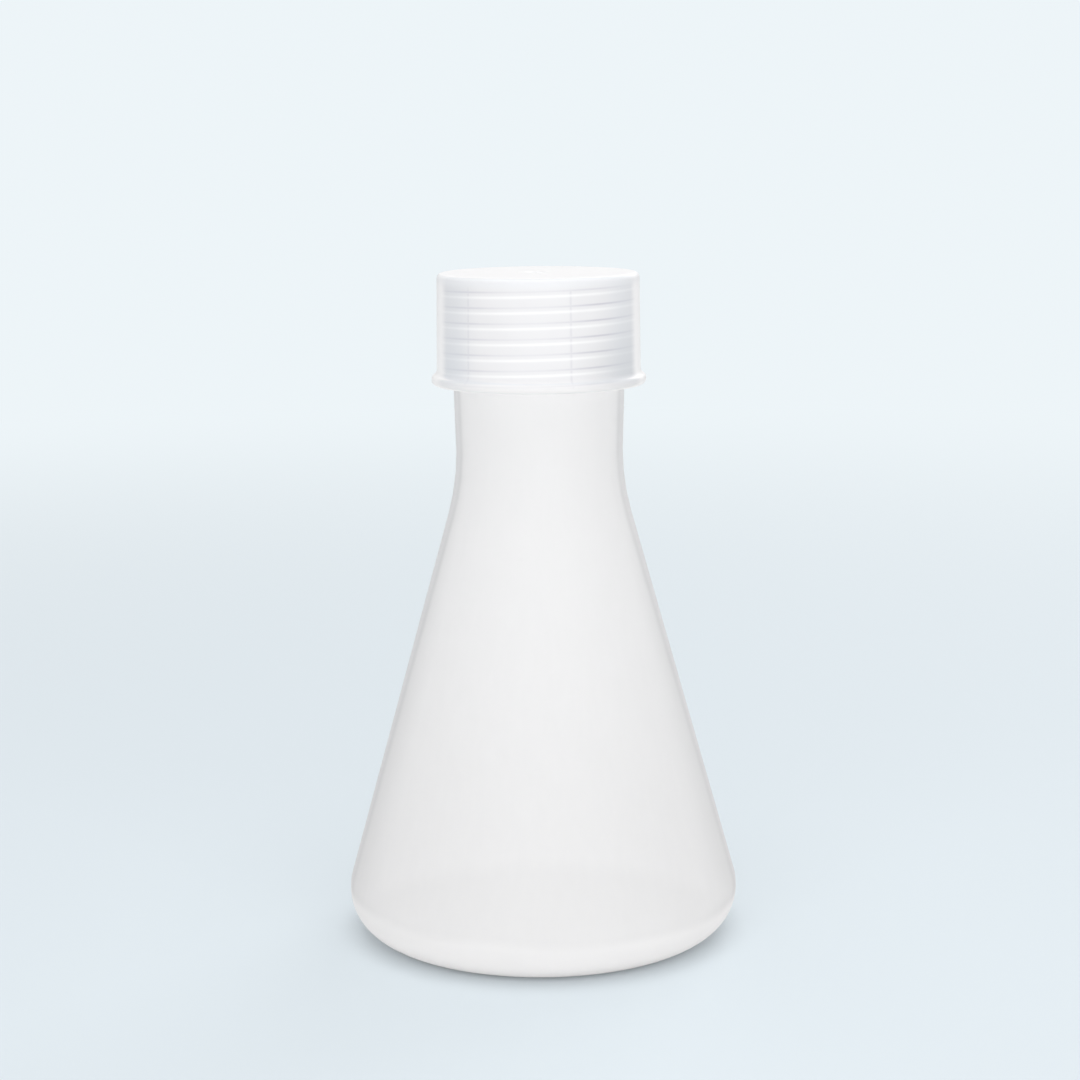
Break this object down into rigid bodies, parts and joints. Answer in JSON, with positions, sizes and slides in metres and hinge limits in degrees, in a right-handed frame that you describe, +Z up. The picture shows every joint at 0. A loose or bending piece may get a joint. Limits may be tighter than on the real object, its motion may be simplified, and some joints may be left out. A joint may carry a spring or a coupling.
{
  "type": "conical laboratory flask with screw cap",
  "caption": "Conical flask moulded in translucent plastic, with a straight threaded neck and a beaded screw cap over a soft sealing disc.",
  "frame": {"origin": "centre of the base, in the plane the flask stands on", "axes": "+Z up along the flask's axis of revolution; -Y is the side the picture shows"},
  "size_m": [0.105, 0.105, 0.1782],
  "materials": {
    "flask_plastic": "satin, blow-moulded, milky and slightly see-through",
    "cap_plastic": "smooth, injection-moulded, translucent",
    "liner_foam": "soft white closed-cell sealing sheet"
  },
  "bodies": {
    "flask": {"flask_body": "flask_plastic"},
    "liner": {"cap_liner": "liner_foam"},
    "cap": {"screw_cap": "cap_plastic"}
  },
  "joints": [
    {"name": "liner_lift", "type": "slide", "parent": "flask", "child": "liner", "axis": [0, 0, 1], "range_m": [0, 0.0301]},
    {"name": "cap_turn", "type": "hinge", "parent": "liner", "child": "cap", "pos_m": [0, 0, 0.149], "axis": [0, 0, 1], "range_deg": [0, 2700]}
  ],
  "couplings": [
    {"joint": "liner_lift", "follows": "cap_turn", "m_per_rad": 0.00063662}
  ]
}
